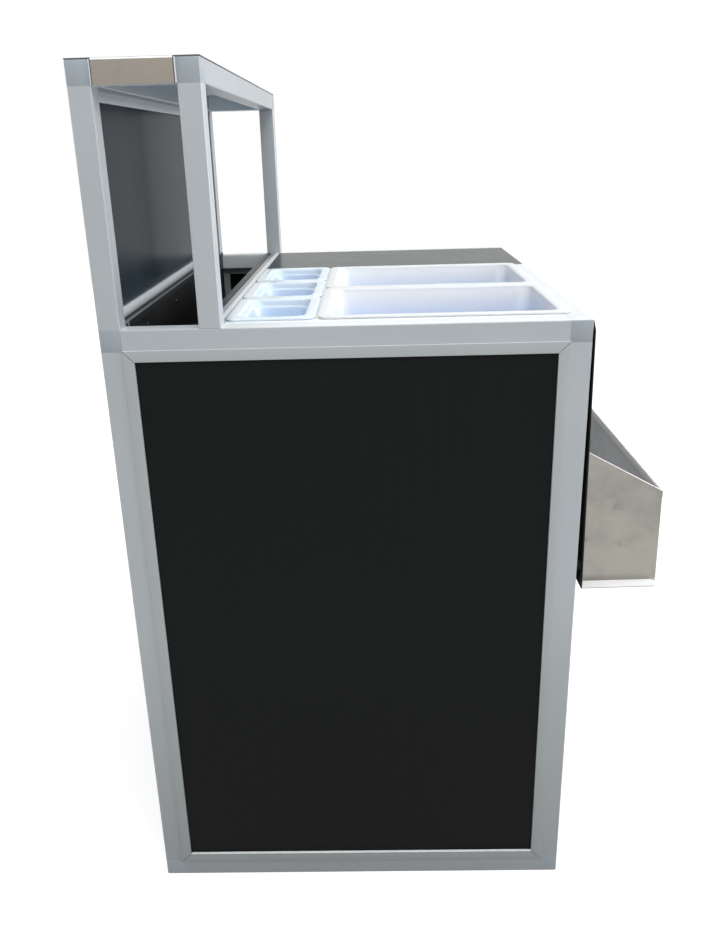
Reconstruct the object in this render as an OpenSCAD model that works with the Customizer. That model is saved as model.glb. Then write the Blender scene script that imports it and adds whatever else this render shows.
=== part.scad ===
// Portable bar station: an aluminium tube frame with black panels, a raised
// hood shelf, a bottle well, a worktop with lift-out pans and a hung-on speed rail.
// +X is the left end as the bartender sees it, +Y the working side, +Z up.

/* [Overall] */
// Length of the frame, from end to end
length = 800; // [720:10:1200]
// Depth of the frame, from customer side to working side
depth = 600; // [590:5:700]
// Height of the worktop rails above the floor
worktop_height = 850; // [800:5:950]
// Height of the hood frame above the worktop
hood_rise = 300; // [200:10:400]
// Depth of the hood shelf
hood_depth = 150; // [145:5:160]

/* [Frame] */
// Side of the square tube
tube = 27; // [25:1:30]
// Wall of the square tube
tube_wall = 1.5; // [1.2:0.1:2.5]
// Rounding of the tube's long edges
edge_r = 1.5; // [0.5:0.1:2]
// Length of a connector's plug inside a tube
plug_length = 25; // [15:1:30]
// Gap between a plug and the tube's inside
plug_gap = 0.2; // [0.1:0.05:0.4]
// Radius of the pegs that join a tube's end to a tube's side
peg_r = 5; // [3:0.5:7]

/* [Panels] */
// Thickness of the black panels
panel_thickness = 3; // [2:0.5:4]
// Width of the trim bars that frame a panel
trim_width = 13; // [10:1:16]
// Thickness of the trim bars
trim_depth = 12; // [10:0.5:14]
// How far the trim stands out of the tube's face
trim_proud = 1.5; // [0.5:0.5:2.5]
// How far a panel lies behind its trim's face
panel_set_back = 4; // [3:0.5:5]
// Depth of the groove that holds a panel's edge
groove_depth = 8; // [5:1:9]
// Half of the gap at a mitre
mitre_gap = 0.15; // [0.1:0.05:0.3]
// Thickness of the base board
base_board = 9; // [6:1:15]

/* [Hood] */
// Thickness of the stainless sheets
sheet = 1.2; // [0.8:0.1:1.6]
// Gap between the folded end flange and the corner connectors
flange_gap = 1.5; // [0.5:0.5:3]
// Width of the rubber gasket round the hood panel
gasket_width = 5; // [4:0.5:8]

/* [Bottle well] */
// Depth of the bottle well below the worktop
well_depth = 250; // [150:10:300]
// Thickness of the well's folded sheet
well_sheet = 2; // [1:0.5:3]
// Width of the cap on the well's front edge
cap_width = 5; // [4.5:0.5:7]
// Height of that cap
cap_height = 8; // [6:1:12]
// How far the cap stands above the worktop rails
cap_rise = 6.5; // [4:0.5:9]
// Width of the edge strip between the well and the pans
strip_width = 7; // [4:1:9]
// Height of that strip
strip_height = 2.5; // [1.5:0.5:3]
// Width of the well's lip on top of the rail behind it
well_lip = 7; // [4:1:12]

/* [Pans] */
// Gap between an ice bin's wall and the rear rail
bin_clear = 1; // [0.5:0.5:3]
// Width of an ice bin's rim
bin_width = 240; // [220:5:270]
// Depth of an ice bin
bin_depth = 150; // [100:10:200]
// Width of a garnish pan's rim, front to back
garnish_width = 114; // [104:2:118]
// Depth of a garnish pan
garnish_depth = 100; // [65:5:150]
// Width of a pan's rim on each side
rim_width = 12; // [11:0.5:14]
// Thickness of a pan's rim
rim_thickness = 3; // [2:0.5:4]
// Wall of a pan
pan_wall = 2.5; // [2:0.5:3]
// Gap between neighbouring rims
rim_gap = 1; // [0.5:0.5:3]
// How much narrower a pan is at its bottom, on each side
pan_taper = 8; // [4:1:12]
// Width of the bars that carry the rims between pans
divider_width = 16; // [12:1:18]
// Height of those bars
divider_height = 15; // [10:1:20]
// Width of the bars between the left end rail and the pans
end_bar = 18; // [12:1:24]

/* [Speed rail] */
// Depth of the bottle trough
trough_depth = 103; // [85:1:120]
// Height of the trough's back wall
trough_back = 190; // [160:2:200]
// Height of the trough's front wall
trough_front = 131; // [100:1:150]
// How far each end plate stands in from the end of its foot
end_set_in = 20; // [12:1:30]
// How much shorter that foot is than its end plate, front to back
foot_short = 6; // [0:1:20]
// Height of the black apron that carries the trough
apron_height = 360; // [300:10:420]
// Thickness of the apron
apron_sheet = 1.5; // [1:0.5:2]
// Gap between the apron's top and the rear rail
hang_gap = 1.5; // [1.4:0.1:2.5]
// Outward lean of the apron, in degrees
lean = 0.9; // [0.5:0.1:1.5]
// Number of hanging studs
stud_count = 4; // [2:1:6]
// Radius of a stud's neck
stud_r = 2.5; // [2:0.25:3]
// Radius of a stud's head
stud_head_r = 5; // [4.5:0.25:6]
// Number of rivets in each row
rivet_count = 5; // [3:1:8]
// Height of the lower rivets above the trough's bottom, and of its hem above the upper ones
rivet_in = 28; // [15:1:40]

/* [Hidden] */

$fn = 32;
// Clearance between pieces that come apart
loose = 0.3;
// Clearance of a screw or rivet in its hole
hole_gap = 0.1;
// Radius of the self-tapping screws and of their heads
screw_r = 2;
screw_head_r = 3.8;
screw_head = 2;
screw_length = 9;

// Faces and levels of the frame, with y = 0 at the customer side's outer face
end_x = length / 2;
inner_x = end_x - tube;
rear_in_y = depth - tube;
rail_z = worktop_height - tube;
hood_z = worktop_height + hood_rise;
hood_rail_z = hood_z - tube;
well_rail_y = hood_depth - tube;
plug_side = tube - 2 * tube_wall - 2 * plug_gap;
panel_y = panel_set_back - trim_proud;
// Gap between an opening's edge and the panel's edge in its groove
panel_in = trim_width - groove_depth + loose;

// Pans, from the left end towards the right and from the well towards the rear rail
garnish_count = 3;
rim_overlap = 4;
bin_split = 2;
rim_corner_r = 14;
pan_x = inner_x - end_bar + rim_overlap;
garnish_length = (2 * bin_width + rim_gap - (garnish_count - 1) * rim_gap) / garnish_count;
garnish_seat = 2;
garnish_y = hood_depth - garnish_seat;
bin_y = garnish_y + garnish_width + bin_split;
bin_length = rear_in_y - bin_clear + rim_width - bin_y;
pans_end_x = pan_x - 2 * bin_width - rim_gap;
cross_x = pans_end_x + rim_overlap - tube;
strip_gap = 1;
strip_y = garnish_y - strip_gap - strip_width;
divider_y = garnish_y + garnish_width + bin_split / 2 - divider_width / 2;

// Speed rail
apron_drop = 3;
apron_top_z = worktop_height - apron_drop;
stud_z = rail_z + tube / 2;
buffer_r = 8;
buffer_foot = 30;
buffer_drop = apron_height - buffer_foot;
trough_x = end_x - end_set_in;
rivet_rows = [rivet_in, trough_back - rivet_in];

// Shift that puts the origin under the middle of the whole station
reach_y = depth + hang_gap + (apron_sheet + trough_depth) * cos(lean)
    + apron_height * sin(lean);
mid_y = (reach_y - trim_proud) / 2;

module station() translate([0, -mid_y, 0]) children();
module right_end() mirror([1, 0, 0]) children();
module both_ends() {
    children();
    right_end() children();
}

// Square section with rounded edges, its corner at the origin
module section() {
    translate([edge_r, 0]) square([tube - 2 * edge_r, tube]);
    translate([0, edge_r]) square([tube, tube - 2 * edge_r]);
    for (x = [edge_r, tube - edge_r], y = [edge_r, tube - edge_r])
        translate([x, y]) circle(edge_r);
}

module tube_z(long)
    linear_extrude(long) difference() {
        section();
        translate([tube_wall, tube_wall]) square(tube - 2 * tube_wall);
    }
module tube_x(long) rotate([90, 0, 90]) tube_z(long);
module tube_y(long) translate([0, 0, tube]) rotate([-90, 0, 0]) tube_z(long);

// Cylinder along y, from its centre towards +y
module rod_y(r, long) rotate([-90, 0, 0]) cylinder(r = r, h = long);

// Section of a connector, rounded at its outer corner only
module corner_section() {
    translate([edge_r, 0]) square([tube - edge_r, tube]);
    translate([0, edge_r]) square([tube, tube - edge_r]);
    translate([edge_r, edge_r]) circle(edge_r);
}

// Plug that runs from the connector's middle along one axis
module plug(axis) {
    side = (tube - plug_side) / 2;
    reach = tube / 2 + plug_length;
    size = [for (a = axis) a == 0 ? plug_side : reach];
    low = [for (a = axis) a == 0 ? side : (a > 0 ? tube / 2 : tube / 2 - reach)];
    translate(low) cube(size);
}

// Moulded corner with its outer corner at the origin and plugs along the given axes
module connector(capped, axes) {
    intersection() {
        linear_extrude(tube) corner_section();
        if (capped) rotate([90, 0, 90]) linear_extrude(tube) corner_section();
        if (capped) translate([0, tube, 0]) rotate([90, 0, 0]) linear_extrude(tube) corner_section();
        if (!capped) cube(tube);
    }
    for (axis = axes) plug(axis);
}
three_ways = [[1, 0, 0], [0, 1, 0], [0, 0, 1]];
four_ways = concat(three_ways, [[0, 0, -1]]);

// Connector at the left end: y and z give the outer corner, the flips turn it inwards
module left_connector(y, z, flip_y, flip_z, capped = true, axes = three_ways)
    translate([end_x, y, z]) mirror([1, 0, 0]) mirror([0, flip_y, 0]) mirror([0, 0, flip_z])
        connector(capped, axes);

// Plug inside a tube's end with a round peg that enters the side of the next tube
peg_in = 4;
module end_plug() {
    translate([-plug_side / 2, -plug_side / 2, 0]) cube([plug_side, plug_side, plug_length]);
    translate([0, 0, -tube_wall - peg_in]) cylinder(r = peg_r, h = tube_wall + peg_in + 1);
}
module peg_hole() translate([0, 0, -tube_wall - 1]) cylinder(r = peg_r + hole_gap, h = tube_wall + 2);

// Places of the pegs, each with +z along the tube that holds the plug
module at_hood_post() translate([end_x - tube / 2, well_rail_y + tube / 2, worktop_height]) children();
module at_well_rail() translate([inner_x, well_rail_y + tube / 2, rail_z + tube / 2])
    rotate([0, -90, 0]) children();
module at_cross_front() translate([cross_x + tube / 2, hood_depth, rail_z + tube / 2])
    rotate([-90, 0, 0]) children();
module at_cross_rear() translate([cross_x + tube / 2, rear_in_y, rail_z + tube / 2])
    rotate([90, 0, 0]) children();

// Frame tubes
module front_post_lower() translate([inner_x, 0, tube]) tube_z(rail_z - tube);
module front_post_upper() translate([inner_x, 0, worktop_height]) tube_z(hood_rise - tube);
module rear_post() translate([inner_x, rear_in_y, tube]) tube_z(rail_z - tube);
module hood_rear_post() translate([inner_x, well_rail_y, worktop_height]) tube_z(hood_rise - tube);
module end_top_rail() difference() {
    translate([inner_x, tube, rail_z]) tube_y(depth - 2 * tube);
    at_hood_post() peg_hole();
    at_well_rail() peg_hole();
}
module end_bottom_rail() translate([inner_x, tube, 0]) tube_y(depth - 2 * tube);
module long_rail(y, z) translate([-inner_x, y, z]) tube_x(2 * inner_x);

module front_mid_rail() color("silver") station() difference() {
    long_rail(0, rail_z);
    at_well_front_screws() screw_hole();
}
module front_bottom_rail() color("silver") station() difference() {
    long_rail(0, 0);
    at_shelf_screws() screw_hole();
}
module rear_bottom_rail() color("silver") station() difference() {
    long_rail(rear_in_y, 0);
    at_shelf_screws() screw_hole();
}
module rear_top_rail() color("silver") station() difference() {
    long_rail(rear_in_y, rail_z);
    at_cross_rear() peg_hole();
    at_studs() translate([0, -tube_wall - 1, 0]) rod_y(stud_r + hole_gap, tube_wall + 2);
}
module well_rail() color("silver") station() difference() {
    long_rail(well_rail_y, rail_z);
    at_cross_front() peg_hole();
    at_well_rear_screws() screw_hole();
}
module cross_rail() color("silver") station()
    translate([cross_x, hood_depth, rail_z]) tube_y(rear_in_y - hood_depth);
module hood_front_rail() color("silver") station() long_rail(0, hood_rail_z);
module hood_rear_rail() color("silver") station() long_rail(well_rail_y, hood_rail_z);
module hood_end_rail() translate([inner_x, tube, hood_rail_z]) tube_y(hood_depth - 2 * tube);

// Connectors
module hood_corner_connectors() color("slategray") station() both_ends() {
    left_connector(0, hood_z, 0, 1);
    left_connector(hood_depth, hood_z, 1, 1);
}
module front_joint_connectors() color("slategray") station() both_ends()
    left_connector(0, worktop_height, 0, 1, false, four_ways);
module rear_corner_connectors() color("slategray") station() both_ends()
    left_connector(depth, worktop_height, 1, 1);
module base_corner_connectors() color("slategray") station() both_ends() {
    left_connector(0, 0, 0, 0);
    left_connector(depth, 0, 1, 0);
}
module tube_end_plugs() color("slategray") station() {
    both_ends() {
        at_hood_post() end_plug();
        at_well_rail() end_plug();
    }
    at_cross_front() end_plug();
    at_cross_rear() end_plug();
}

// Four mitred trim bars round an opening of wide by high, with the panel's groove
module trim_frame(wide, high) {
    b = trim_width;
    m = mitre_gap;
    bottom = [[m, 0], [wide - m, 0], [wide - b - m, b], [b + m, b]];
    side = [[0, m], [b, b + m], [b, high - b - m], [0, high - m]];
    difference() {
        linear_extrude(trim_depth) {
            polygon(bottom);
            translate([0, high]) mirror([0, 1]) polygon(bottom);
            polygon(side);
            translate([wide, 0]) mirror([1, 0]) polygon(side);
        }
        groove_in = b - groove_depth;
        translate([groove_in, groove_in, trim_depth - panel_set_back - panel_thickness - hole_gap])
            cube([wide - 2 * groove_in, high - 2 * groove_in, panel_thickness + 2 * hole_gap]);
    }
}

// Panel of that opening, seated in the groove
module trim_panel(wide, high)
    translate([panel_in, panel_in, trim_depth - panel_set_back - panel_thickness])
        cube([wide - 2 * panel_in, high - 2 * panel_in, panel_thickness]);
end_wide = depth - 2 * tube;
front_wide = 2 * inner_x;
panel_high = rail_z - tube;
module in_end() translate([end_x + trim_proud - trim_depth, tube, tube])
    rotate([90, 0, 90]) children();
module in_front() translate([-inner_x, trim_depth - trim_proud, tube])
    rotate([90, 0, 0]) children();

module end_panel() in_end() trim_panel(end_wide, panel_high);
module end_panel_trim() in_end() trim_frame(end_wide, panel_high);
module front_panel() color("#1c1e1f") station() in_front() trim_panel(front_wide, panel_high);
module front_panel_trim() color("silver") station() in_front() trim_frame(front_wide, panel_high);

// Hood panel between a track at its foot and one at its top, with a gasket at each side
hood_opening = hood_rail_z - worktop_height;
gasket_lip = 2;
module hood_panel_slab(gap)
    translate([-inner_x + gasket_width / 2 - gap, panel_y - gap, worktop_height + panel_in - gap])
        cube([2 * inner_x - gasket_width + 2 * gap, panel_thickness + 2 * gap,
            hood_opening - 2 * panel_in + 2 * gap]);
module hood_panel() color("#1c1e1f") station() hood_panel_slab(0);
module hood_panel_track() color("silver") station() difference() {
    for (z = [worktop_height, hood_rail_z - trim_width])
        translate([-inner_x, -trim_proud, z]) cube([2 * inner_x, trim_depth, trim_width]);
    hood_panel_slab(hole_gap);
}
module hood_panel_gasket() color("#101010") station() difference() {
    for (x = [-inner_x, inner_x - gasket_width])
        translate([x, panel_y - gasket_lip, worktop_height + trim_width])
            cube([gasket_width, panel_thickness + 2 * gasket_lip, hood_opening - 2 * trim_width]);
    hood_panel_slab(hole_gap);
}

// Base shelf, notched round the posts, on the bottom rails
shelf_gap = 1;
shelf_in = trim_depth - trim_proud + shelf_gap;
module base_shelf() color("#202020") station() difference() {
    translate([-end_x + shelf_in, shelf_in, tube])
        cube([length - 2 * shelf_in, depth - shelf_in - shelf_gap, base_board]);
    for (x = [-end_x - 1, inner_x - loose], y = [-1, rear_in_y - loose])
        translate([x, y, tube - 1]) cube([tube + loose + 1, tube + loose + 1, base_board + 2]);
    at_shelf_screws() screw_hole();
}

// Screw with its head on +z, and its hole
module screw() {
    cylinder(r = screw_head_r, h = screw_head);
    translate([0, 0, -screw_length]) cylinder(r = screw_r, h = screw_length + 0.5);
}
module screw_hole() translate([0, 0, -screw_length - 6])
    cylinder(r = screw_r + hole_gap, h = screw_length + 7);
shelf_screw_in = 60;
module at_shelf_screws() for (x = [-1, 0, 1], y = [tube * 0.75, depth - tube / 2])
    translate([x * (inner_x - shelf_screw_in), y, tube + base_board]) children();
module shelf_screws() color("#303030") station() at_shelf_screws() {
    cylinder(r = screw_head_r, h = screw_head);
    translate([0, 0, -base_board - tube_wall - 3])
        cylinder(r = screw_r, h = base_board + tube_wall + 3.5);
}

// Bottle well, one folded sheet between the front mid rail and the well rail, with a lip on the latter
tray_y = tube + (cap_width - well_sheet) / 2;
tray_rear_y = well_rail_y - loose / 3;
tray_x = inner_x - loose;
tray_top = worktop_height + cap_rise - cap_height / 3;
tray_z = worktop_height - well_depth;
module at_well_front_screws() for (x = [-1.5, -0.5, 0.5, 1.5])
    translate([x * inner_x / 2, tray_y + well_sheet, rail_z + tube * 0.4])
        rotate([-90, 0, 0]) children();
module at_well_rear_screws() for (x = [-1.5, -0.5, 0.5, 1.5])
    translate([x * inner_x / 2, tray_rear_y - well_sheet, rail_z + tube * 0.4])
        rotate([90, 0, 0]) children();
module bottle_well_tray() color("#18181a") station() difference() {
    union() {
        translate([-tray_x, tray_y, tray_z]) cube([2 * tray_x, well_sheet, tray_top - tray_z]);
        translate([-tray_x, tray_y, tray_z]) cube([2 * tray_x, tray_rear_y - tray_y, well_sheet]);
        translate([-tray_x, tray_rear_y - well_sheet, tray_z])
            cube([2 * tray_x, well_sheet, worktop_height + well_sheet - tray_z]);
        translate([-tray_x, tray_rear_y - well_sheet, worktop_height])
            cube([2 * tray_x, well_rail_y + well_lip - tray_rear_y + well_sheet, well_sheet]);
    }
    at_well_front_screws() screw_hole();
    at_well_rear_screws() screw_hole();
}
module well_front_cap() color("gainsboro") station() difference() {
    translate([-inner_x, tube, worktop_height + cap_rise - cap_height])
        cube([2 * inner_x, cap_width, cap_height]);
    translate([-inner_x - 1, tray_y - hole_gap, worktop_height + cap_rise - cap_height - 1])
        cube([2 * inner_x + 2, well_sheet + 2 * hole_gap, tray_top - worktop_height - cap_rise
            + cap_height + 1]);
}
module well_screws() color("#303030") station() {
    at_well_front_screws() screw();
    at_well_rear_screws() screw();
}
module well_edge_strip() color("gainsboro") station()
    translate([-inner_x, strip_y, worktop_height]) cube([2 * inner_x, strip_width, strip_height]);

// Worktop plate from the pans to the right end rail, notched round the hood's rear post
module worktop_plate() color("darkgray") station() difference() {
    translate([-inner_x - rim_overlap, garnish_y - loose, worktop_height])
        cube([inner_x + rim_overlap + pans_end_x - rim_gap, depth - garnish_y + loose, sheet]);
    translate([-end_x - 1, well_rail_y, worktop_height - 1])
        cube([tube + 1 + loose, tube + loose, sheet + 2]);
}

// Bars that carry the pans' rims
divider_z = worktop_height - divider_height;
module divider(x, y, size_x, size_y) translate([x, y, divider_z]) cube([size_x, size_y, divider_height]);
garnish_pitch = garnish_length + rim_gap;
garnish_splits = [for (i = [1 : garnish_count - 1]) pan_x - i * garnish_pitch + rim_gap / 2];
bin_split_x = pan_x - bin_width - rim_gap / 2;
divider_end_y = divider_y + divider_width;
module pan_end_bars() color("silver") station() {
    divider(inner_x - end_bar, hood_depth, end_bar, divider_y - hood_depth);
    divider(inner_x - end_bar, divider_end_y, end_bar, rear_in_y - divider_end_y);
}
module pan_divider_long() color("silver") station()
    divider(cross_x + tube, divider_y, inner_x - cross_x - tube, divider_width);
module pan_dividers_short() color("silver") station() {
    divider(bin_split_x - divider_width / 2, divider_end_y, divider_width, rear_in_y - divider_end_y);
    for (x = garnish_splits)
        divider(x - divider_width / 2, hood_depth, divider_width, divider_y - hood_depth);
}

// Angle brackets under the bars' ends, each with its upright leg on the carrying face
bracket = 12;
bracket_sheet = 2;
module bracket_x() translate([0, 0, divider_z - bracket]) {
    cube([bracket_sheet, divider_width, bracket]);
    translate([0, 0, bracket - bracket_sheet]) cube([bracket, divider_width, bracket_sheet]);
}
module bracket_y() translate([0, 0, divider_z - bracket]) {
    cube([divider_width, bracket_sheet, bracket]);
    translate([0, 0, bracket - bracket_sheet]) cube([divider_width, bracket, bracket_sheet]);
}
module divider_brackets() color("silver") station() {
    translate([cross_x + tube, divider_y, 0]) bracket_x();
    translate([inner_x, divider_y, 0]) mirror([1, 0, 0]) bracket_x();
    bar_x = inner_x - end_bar / 2;
    translate([-divider_width / 2, rear_in_y, 0]) for (x = [bin_split_x, bar_x])
        translate([x, 0, 0]) mirror([0, 1, 0]) bracket_y();
    translate([-divider_width / 2, hood_depth, 0]) for (x = concat(garnish_splits, bar_x))
        translate([x, 0, 0]) bracket_y();
}

// Rounded rectangle of size x by y, its low corner at in, in
module round_rect(size_x, size_y, in, r) {
    a = in + r;
    translate([a, in]) square([size_x - 2 * a, size_y - 2 * in]);
    translate([in, a]) square([size_x - 2 * in, size_y - 2 * a]);
    for (x = [a, size_x - a], y = [a, size_y - a]) translate([x, y]) circle(r);
}

// Tapered body below the rim, from the given inset down to deep, with a soft bottom edge
module pan_body(size_x, size_y, in, deep, top) {
    foot = 10;
    drop = deep - foot;
    taper = pan_taper * drop / deep;
    hull() {
        linear_extrude(top) round_rect(size_x, size_y, in, rim_corner_r);
        translate([0, 0, -drop]) linear_extrude(0.1)
            round_rect(size_x, size_y, in + taper, rim_corner_r);
        translate([0, 0, -deep]) linear_extrude(0.1)
            round_rect(size_x, size_y, in + pan_taper + foot / 2, rim_corner_r);
    }
}

// Lift-out pan with its rim's low corner at the origin
module pan(size_x, size_y, deep) difference() {
    union() {
        linear_extrude(rim_thickness) round_rect(size_x, size_y, 0, rim_corner_r);
        pan_body(size_x, size_y, rim_width, deep, 0.1);
    }
    pan_body(size_x, size_y, rim_width + pan_wall, deep - pan_wall, rim_thickness + 1);
}
module garnish_pan(i) color("lightblue") station()
    translate([pan_x - garnish_length - i * garnish_pitch, garnish_y, worktop_height + loose])
        pan(garnish_length, garnish_width, garnish_depth);
module ice_bin(i) color("aliceblue") station()
    translate([pan_x - bin_width - i * (bin_width + rim_gap), bin_y, worktop_height + loose])
        pan(bin_width, bin_length, bin_depth);

// Hood top sheet, folded down over each end rail
module hood_top_sheet() color("tan") station() {
    translate([-end_x, 0, hood_z]) cube([length, hood_depth, sheet]);
    flange_y = tube + flange_gap;
    both_ends() translate([end_x - 1, flange_y, hood_z])
        cube([1 + sheet, hood_depth - 2 * flange_y, sheet]);
    both_ends() translate([end_x, flange_y, hood_rail_z])
        cube([sheet, hood_depth - 2 * flange_y, tube + sheet]);
}

// Speed rail: drawn from the apron's top edge, with y outwards, then leaned
module hung() translate([0, depth + hang_gap, apron_top_z]) rotate([lean, 0, 0]) children();
stud_in = 40;
module at_studs() for (i = [0 : stud_count - 1])
    translate([(i / (stud_count - 1) - 0.5) * 2 * (inner_x - stud_in), depth, stud_z]) children();
module hanging_studs() color("gray") station() at_studs() {
    translate([0, -tube_wall - 2, 0]) rod_y(stud_r, tube_wall + 3);
    rod_y(stud_r + 1.2, hang_gap - 2 * loose);
    rod_y(stud_r, hang_gap + apron_sheet + 4 * loose);
    translate([0, hang_gap + apron_sheet + 2 * loose, 0]) rod_y(stud_head_r, 2);
}

// Keyhole: a round hole that the head passes, below a slot that the neck rests in
keyhole_lift = 12;
keyhole_cut = 40;
module keyhole() {
    r = stud_r + loose;
    translate([0, -keyhole_cut / 2, 0]) {
        rod_y(r, keyhole_cut);
        translate([-r, 0, -keyhole_lift]) cube([2 * r, keyhole_cut, keyhole_lift]);
        translate([0, 0, -keyhole_lift]) rod_y(stud_head_r + 2 * loose, keyhole_cut);
    }
}
apron_corner = 10;
module apron() color("#1a1a1a") station() difference() {
    hung() difference() {
        translate([0, apron_sheet, 0]) rotate([90, 0, 0]) linear_extrude(apron_sheet)
            polygon([[-end_x, -apron_height], [end_x, -apron_height], [end_x, -apron_corner],
                [end_x - apron_corner, 0], [apron_corner - end_x, 0], [-end_x, -apron_corner]]);
        at_rivets() rivet_hole();
    }
    at_studs() keyhole();
}

// Trough sheet as three walls with hemmed top edges
trough_y = apron_sheet;
hem = 9;
module wall_x(y, z, size_y, size_z) translate([-trough_x, y, z]) cube([2 * trough_x, size_y, size_z]);
module speed_rail_trough() color("lightgray") station() hung() difference() {
    front_y = trough_y + trough_depth;
    union() {
        wall_x(trough_y, -apron_height, trough_depth, sheet);
        wall_x(trough_y, -apron_height, sheet, trough_back);
        wall_x(front_y - sheet, -apron_height, sheet, trough_front);
        wall_x(trough_y, trough_back - apron_height - hem, 2 * sheet, hem);
        wall_x(front_y - 2 * sheet, trough_front - apron_height - hem, 2 * sheet, hem);
    }
    at_rivets() rivet_hole();
}

// End plate with a hem along its sloping edge and a foot that points outwards
module end_outline(low) polygon([[0, low], [trough_depth, low], [trough_depth, trough_front],
    [0, trough_back]]);
module end_plate() {
    translate([trough_x, trough_y, -apron_height]) rotate([90, 0, 90]) {
        linear_extrude(sheet) end_outline(0);
        linear_extrude(2 * sheet) difference() {
            end_outline(0);
            translate([-1, -hem]) polygon([[0, -1], [trough_depth + 2, -1],
                [trough_depth + 2, trough_front], [0, trough_back]]);
        }
    }
    translate([trough_x, trough_y, -apron_height])
        cube([end_set_in, trough_depth - foot_short, sheet]);
}
module speed_rail_end_plates() color("silver") station() hung() both_ends() end_plate();

// Rivets through the trough's back wall and the apron
rivet_r = 2;
rivet_end = 50;
rivet_cut = 10;
module rivet_hole() translate([0, -rivet_cut, 0]) rod_y(rivet_r + hole_gap, 2 * rivet_cut);
module at_rivets() for (i = [0 : rivet_count - 1], z = rivet_rows)
    translate([(i / (rivet_count - 1) - 0.5) * 2 * (trough_x - rivet_end), trough_y, z - apron_height])
        children();
module speed_rail_rivets() color("gray") station() hung() at_rivets() {
    translate([0, -apron_sheet - 1, 0]) rod_y(1.6 * rivet_r, 1);
    translate([0, -apron_sheet - 0.5, 0]) rod_y(rivet_r, apron_sheet + sheet + 1);
    translate([0, sheet, 0]) rod_y(2 * rivet_r, 1.2);
}

// Rubber buffers on the apron's back, which rest against the rear posts
buffer_long = hang_gap + buffer_drop * tan(lean) - 2 * loose;
module apron_buffers() color("#101010") station() hung() both_ends()
    translate([inner_x + tube / 2, -buffer_long, -buffer_drop]) rod_y(buffer_r, buffer_long);

color("silver") station() front_post_lower();  // front_post_lower_left
color("silver") station() right_end() front_post_lower();  // front_post_lower_right
color("silver") station() front_post_upper();  // front_post_upper_left
color("silver") station() right_end() front_post_upper();  // front_post_upper_right
color("silver") station() rear_post();  // rear_post_left
color("silver") station() right_end() rear_post();  // rear_post_right
color("silver") station() hood_rear_post();  // hood_rear_post_left
color("silver") station() right_end() hood_rear_post();  // hood_rear_post_right
color("silver") station() end_top_rail();  // end_top_rail_left
color("silver") station() right_end() end_top_rail();  // end_top_rail_right
color("silver") station() end_bottom_rail();  // end_bottom_rail_left
color("silver") station() right_end() end_bottom_rail();  // end_bottom_rail_right
front_mid_rail();
front_bottom_rail();
rear_top_rail();
rear_bottom_rail();
well_rail();
cross_rail();
hood_front_rail();
hood_rear_rail();
color("silver") station() hood_end_rail();  // hood_end_rail_left
color("silver") station() right_end() hood_end_rail();  // hood_end_rail_right
hood_corner_connectors();
front_joint_connectors();
rear_corner_connectors();
base_corner_connectors();
tube_end_plugs();
color("#1c1e1f") station() end_panel();  // end_panel_left
color("#1c1e1f") station() right_end() end_panel();  // end_panel_right
color("silver") station() end_panel_trim();  // end_panel_trim_left
color("silver") station() right_end() end_panel_trim();  // end_panel_trim_right
front_panel();
front_panel_trim();
hood_panel();
hood_panel_track();
hood_panel_gasket();
base_shelf();
shelf_screws();
bottle_well_tray();
well_front_cap();
well_edge_strip();
well_screws();
worktop_plate();
pan_end_bars();
pan_divider_long();
pan_dividers_short();
divider_brackets();
garnish_pan(0);  // garnish_pan_left
garnish_pan(1);  // garnish_pan_middle
garnish_pan(2);  // garnish_pan_right
ice_bin(0);  // ice_bin_left
ice_bin(1);  // ice_bin_right
hood_top_sheet();
apron();
hanging_studs();
speed_rail_trough();
speed_rail_end_plates();
speed_rail_rivets();
apron_buffers();
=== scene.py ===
"""Looks of the portable bar station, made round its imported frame."""

import math

import bmesh
import bpy
from mathutils import Matrix, Vector


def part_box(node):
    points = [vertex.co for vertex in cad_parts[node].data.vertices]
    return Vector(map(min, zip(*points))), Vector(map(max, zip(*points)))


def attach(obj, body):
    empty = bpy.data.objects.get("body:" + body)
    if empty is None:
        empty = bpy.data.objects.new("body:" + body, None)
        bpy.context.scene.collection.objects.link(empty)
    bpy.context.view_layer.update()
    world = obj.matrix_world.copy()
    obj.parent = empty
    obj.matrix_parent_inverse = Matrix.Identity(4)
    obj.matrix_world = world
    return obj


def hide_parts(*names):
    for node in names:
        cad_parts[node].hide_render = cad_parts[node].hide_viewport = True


bl_info = {
    "name": "Portable bar station",
    "version": (1, 0, 0),
    "blender": (4, 5, 0),
    "location": "View3D > Sidebar > Bar station",
    "description": "Finishes the parts of a portable bar station and lights it",
    "category": "Object",
}

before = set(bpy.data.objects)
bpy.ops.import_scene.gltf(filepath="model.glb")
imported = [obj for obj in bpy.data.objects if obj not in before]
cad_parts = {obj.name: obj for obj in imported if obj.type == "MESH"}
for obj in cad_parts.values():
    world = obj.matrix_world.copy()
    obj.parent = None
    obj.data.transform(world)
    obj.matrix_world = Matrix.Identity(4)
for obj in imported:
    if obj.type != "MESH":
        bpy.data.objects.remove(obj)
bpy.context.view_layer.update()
MM = 0.001

# Sizes that the frame sets
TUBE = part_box("well_rail")[1].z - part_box("well_rail")[0].z
RAIL_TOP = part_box("well_rail")[1].z
HOOD_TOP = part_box("hood_front_rail")[1].z
END_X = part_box("end_top_rail_left")[1].x
FRONT_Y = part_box("front_mid_rail")[0].y
REAR_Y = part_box("rear_top_rail")[1].y
HOOD_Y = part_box("hood_rear_rail")[1].y
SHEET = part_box("worktop_plate")[1].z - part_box("worktop_plate")[0].z

# Sizes that the part's source sets
PLUG_LENGTH = 25 * MM
PLUG_HALF = TUBE / 2 - 1.9 * MM
APRON_SHEET = 1.5 * MM
FLANGE_IN = TUBE + 1.5 * MM
HEAD = 2 * MM

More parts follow.
